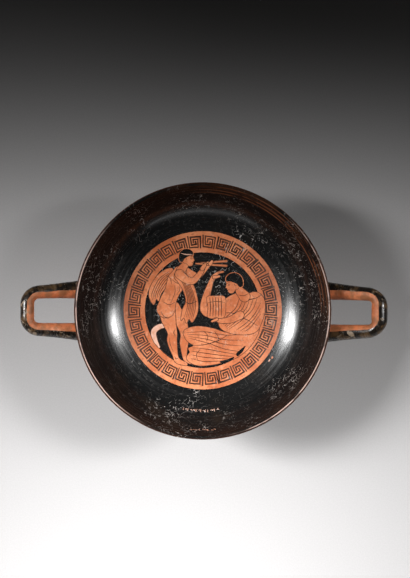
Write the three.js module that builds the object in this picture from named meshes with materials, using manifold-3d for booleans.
// A kylix: a wide, shallow drinking cup on a stem and a disc foot, with two looped handles, thrown
// and fired as one piece of clay. Millimetres, +Z up, the cup's axis on Z, standing on Z = 0, with
// the handles along X.
import * as THREE from "three";
import { mergeVertices } from "three/addons/utils/BufferGeometryUtils.js";
import Module from "manifold-3d";

// The bowl. Its inside rises from the middle as a gentle dish and then as a steep wall:
// height = BOWL_DEPTH * (DISH_SHARE * u^2 + (1 - DISH_SHARE) * u^WALL_POWER), where u is the share
// of the way from the axis to the lip.
const RIM_RADIUS = 100; // to the outside of the lip
const BOWL_DEPTH = 42;
const FLOOR_HEIGHT = 37; // the top of the floor, in the middle
const FLOOR_THICKNESS = 5.6;
const LIP_THICKNESS = 3;
const DISH_SHARE = 0.27;
const WALL_POWER = 7.5;

// The stem and the foot
const STEM_RADIUS = 10.5;
const STEM_WAIST_HEIGHT = 18;
const STEM_FLARE = 13; // how far the stem's top reaches towards the bowl before it turns up
const STEM_TOP_SHARE = 0.31; // where the bowl's underside starts to run down into the stem
const FOOT_RADIUS = 42;
const FOOT_EDGE_HEIGHT = 6.4;
const FOOT_STEP_RADIUS = 35; // a shallow step round the foot's upper side
const FOOT_STEP_HEIGHT = 1;
const FOOT_RING_INNER_RADIUS = 30; // the inner edge of the flat ring that the cup stands on
const FOOT_HOLLOW_HEIGHT = 24;
// The hollow under the foot, from its top on the axis to the ring: shares of the ring's inner
// radius and of the hollow's height
const FOOT_HOLLOW_OUTLINE = [[0, 1], [0.13, 0.8], [0.24, 0.5], [0.46, 0.24], [0.84, 0.1], [1, 0]];

// The handles: each is a loop of round section that leaves the wall below the lip and rises to its
// tip. The limbs run almost straight out, turn in at two corners, and meet across the tip.
const LIMB_DIAMETER = 10.4;
const CORNER_RADIUS = 9.2;
const HALF_WIDTH_AT_CORNER = 14.6; // from the loop's middle to a limb's centre
const HALF_WIDTH_AT_ROOT = 18.6;
const ROOT_X = 68; // where a limb's end is buried in the wall
const ROOT_HEIGHT = 53.5;
const TIP_HEIGHT = 71.5;
const RISE_POWER = 1.6; // 1 would be a straight slope from root to tip
// How much thicker than the limb its end is, across and up, where it is smeared on to the wall
const ROOT_SWELL = { across: 1.03, up: 0.62 };
const SWELL_POWER = 1.7;
const HANDLES = [
  { turn: -0.7, reach: 144.2, tipDiameter: 12.8 }, // degrees round the axis from +X
  { turn: 180, reach: 142.2, tipDiameter: 11 },
];

const ROUND_STEPS = 72;
const WALL_STEPS = 10;
const LIMB_STEPS = 36;
const LIMB_SIDES = 12;

const wasm = await Module();
wasm.setup();

const { lerp } = THREE.MathUtils;
const LIP_INSIDE = RIM_RADIUS - LIP_THICKNESS;

// A point on the inside of the bowl, and the direction out through the wall from it.
function insideOf(u) {
  const rise = DISH_SHARE * u ** 2 + (1 - DISH_SHARE) * u ** WALL_POWER;
  const steepness = 2 * DISH_SHARE * u + WALL_POWER * (1 - DISH_SHARE) * u ** (WALL_POWER - 1);
  return {
    point: new THREE.Vector2(u * LIP_INSIDE, FLOOR_HEIGHT + rise * BOWL_DEPTH),
    outward: new THREE.Vector2((steepness * BOWL_DEPTH) / LIP_INSIDE, -1).normalize(),
  };
}

// A point in the wall: depth 0 is the inside and 1 the outside.
function wallPoint(u, depth) {
  const { point, outward } = insideOf(u);
  return point.addScaledVector(outward, lerp(FLOOR_THICKNESS, LIP_THICKNESS, u ** 1.5) * depth);
}

// Points up the wall at one depth, closer together where it turns up, without the first and last.
function wallPoints(first, depth) {
  return Array.from({ length: WALL_STEPS - 1 }, (_, i) => {
    const along = 1 - (1 - (i + 1) / WALL_STEPS) ** 1.5;
    return wallPoint(lerp(first, 1, along), depth);
  });
}

// The outline of the cup's section, from the top of the hollow under the foot round to the floor.
function cupProfile() {
  const hollow = new THREE.SplineCurve(
    FOOT_HOLLOW_OUTLINE.map(
      ([across, up]) =>
        new THREE.Vector2(across * FOOT_RING_INNER_RADIUS, up * FOOT_HOLLOW_HEIGHT),
    ),
  );
  const roundness = FOOT_EDGE_HEIGHT / 2;
  const edge = new THREE.Path();
  const quarter = Math.PI / 2;
  edge.absarc(FOOT_RADIUS - roundness, roundness, roundness, -quarter, quarter, false);

  const footTop = new THREE.Vector2(FOOT_STEP_RADIUS, FOOT_EDGE_HEIGHT + FOOT_STEP_HEIGHT);
  const waist = new THREE.Vector2(STEM_RADIUS, STEM_WAIST_HEIGHT);
  const foot = new THREE.CubicBezierCurve(
    footTop,
    new THREE.Vector2(lerp(STEM_RADIUS, FOOT_STEP_RADIUS, 0.3), footTop.y + FOOT_STEP_HEIGHT),
    new THREE.Vector2(STEM_RADIUS, lerp(footTop.y, STEM_WAIST_HEIGHT, 0.4)),
    waist,
  );
  const bowlStart = wallPoint(STEM_TOP_SHARE, 1);
  const { outward } = insideOf(STEM_TOP_SHARE);
  const neck = new THREE.CubicBezierCurve(
    waist,
    new THREE.Vector2(STEM_RADIUS, lerp(STEM_WAIST_HEIGHT, bowlStart.y, 0.6)),
    new THREE.Vector2(outward.y, -outward.x).multiplyScalar(STEM_FLARE).add(bowlStart),
    bowlStart,
  );

  const lip = new THREE.Path();
  const lipMiddle = wallPoint(1, 0.5);
  const lipStart = insideOf(1).outward.angle() - 2 * Math.PI;
  lip.absarc(lipMiddle.x, lipMiddle.y, LIP_THICKNESS / 2, lipStart, lipStart + Math.PI, false);

  return [
    ...hollow.getPoints(7),
    ...edge.getPoints(3),
    new THREE.Vector2(FOOT_STEP_RADIUS, FOOT_EDGE_HEIGHT),
    ...foot.getPoints(6),
    ...neck.getPoints(6).slice(1),
    ...wallPoints(STEM_TOP_SHARE, 1),
    ...lip.getPoints(4),
    ...wallPoints(0, 0).reverse(),
    new THREE.Vector2(0, FLOOR_HEIGHT),
  ];
}

// What the limbs' ends are cut back from: everything inside the middle of the bowl's wall.
function coreProfile() {
  const above = FLOOR_HEIGHT + 2 * BOWL_DEPTH;
  const top = wallPoint(1, 0.5);
  return [
    wallPoint(0, 0.5).setX(0),
    ...wallPoints(0, 0.5),
    top,
    new THREE.Vector2(top.x, above),
    new THREE.Vector2(0, above),
  ];
}

function solidFrom(geometry) {
  geometry.deleteAttribute("normal");
  geometry.deleteAttribute("uv");
  const merged = mergeVertices(geometry, 1e-4);
  return new wasm.Manifold(
    new wasm.Mesh({
      numProp: 3,
      vertProperties: new Float32Array(merged.attributes.position.array),
      triVerts: new Uint32Array(merged.index.array),
    }),
  );
}

// A profile turned round the Z axis.
function turned(profile) {
  return solidFrom(new THREE.LatheGeometry(profile, ROUND_STEPS).rotateX(Math.PI / 2));
}

// One handle's centreline in plan, from one root round the tip to the other, along +X.
function handlePlan(tipX) {
  const widening = HALF_WIDTH_AT_ROOT - HALF_WIDTH_AT_CORNER;
  const cornerX = tipX - CORNER_RADIUS;
  const lean = Math.atan2(widening, cornerX - ROOT_X);
  const limbEnd = new THREE.Vector2(
    cornerX + CORNER_RADIUS * Math.sin(lean),
    HALF_WIDTH_AT_CORNER - CORNER_RADIUS * (1 - Math.cos(lean)),
  );
  const plan = new THREE.Path([new THREE.Vector2(ROOT_X, -HALF_WIDTH_AT_ROOT)]);
  const quarter = Math.PI / 2;
  const turnY = HALF_WIDTH_AT_CORNER - CORNER_RADIUS;
  plan.lineTo(limbEnd.x, -limbEnd.y);
  plan.absarc(cornerX, -turnY, CORNER_RADIUS, -quarter + lean, 0, false);
  plan.absarc(cornerX, turnY, CORNER_RADIUS, 0, quarter - lean, false);
  plan.lineTo(ROOT_X, HALF_WIDTH_AT_ROOT);
  return plan;
}

// One handle, with its limbs' ends still inside the bowl.
function handle({ turn, reach, tipDiameter }) {
  const tipX = reach - tipDiameter / 2;
  const plan = handlePlan(tipX);
  const outAt = (x) => THREE.MathUtils.clamp((x - ROOT_X) / (tipX - ROOT_X), 0, 1);
  const centre = (t) => {
    const { x, y } = plan.getPointAt(t);
    return new THREE.Vector3(x, y, lerp(ROOT_HEIGHT, TIP_HEIGHT, outAt(x) ** RISE_POWER));
  };
  const positions = [];
  const up = new THREE.Vector3(0, 0, 1);
  for (let i = 0; i <= LIMB_STEPS; i++) {
    const t = i / LIMB_STEPS;
    const middle = centre(t);
    const tangent = centre(Math.min(t + 1e-3, 1)).sub(centre(Math.max(t - 1e-3, 0))).normalize();
    const side = tangent.clone().cross(up).normalize();
    const over = side.clone().cross(tangent);
    const acrossTip = THREE.MathUtils.smoothstep(
      HALF_WIDTH_AT_CORNER - Math.abs(middle.y), 0, HALF_WIDTH_AT_CORNER - CORNER_RADIUS / 2,
    );
    const swell = (1 - outAt(middle.x)) ** SWELL_POWER;
    const radius = lerp(LIMB_DIAMETER, tipDiameter, acrossTip) / 2;
    const sideRadius = radius * (1 + ROOT_SWELL.across * swell);
    const overRadius = radius * (1 + ROOT_SWELL.up * swell);
    for (let j = 0; j < LIMB_SIDES; j++) {
      const angle = (2 * Math.PI * j) / LIMB_SIDES;
      const point = middle.clone();
      point.addScaledVector(side, sideRadius * Math.cos(angle));
      point.addScaledVector(over, overRadius * Math.sin(angle));
      positions.push(...point.toArray());
    }
  }
  const index = [];
  const at = (i, j) => i * LIMB_SIDES + (j % LIMB_SIDES);
  for (let j = 0; j < LIMB_SIDES; j++) {
    for (let i = 0; i < LIMB_STEPS; i++) {
      index.push(at(i, j), at(i + 1, j), at(i + 1, j + 1), at(i, j), at(i + 1, j + 1), at(i, j + 1));
    }
    if (j > 0 && j < LIMB_SIDES - 1) {
      index.push(at(0, 0), at(0, j), at(0, j + 1));
      index.push(at(LIMB_STEPS, 0), at(LIMB_STEPS, j + 1), at(LIMB_STEPS, j));
    }
  }
  const geometry = new THREE.BufferGeometry();
  geometry.setAttribute("position", new THREE.Float32BufferAttribute(positions, 3));
  geometry.setIndex(index);
  return solidFrom(geometry.rotateZ(THREE.MathUtils.degToRad(turn)));
}

const core = turned(coreProfile());
let cup = turned(cupProfile());
for (const each of HANDLES) cup = cup.add(handle(each).subtract(core));

const { numProp, vertProperties, triVerts } = cup.getMesh();
const geometry = new THREE.BufferGeometry();
geometry.setAttribute("position", new THREE.BufferAttribute(vertProperties, numProp));
geometry.setIndex(new THREE.BufferAttribute(triVerts, 1));
geometry.computeVertexNormals();
const gloss = new THREE.MeshStandardMaterial({ color: 0x1c1917, roughness: 0.3, metalness: 0 });
const mesh = new THREE.Mesh(geometry, gloss);
mesh.name = "kylix_cup";

const kylix = new THREE.Group();
kylix.name = "kylix";
kylix.add(mesh);
export default kylix;
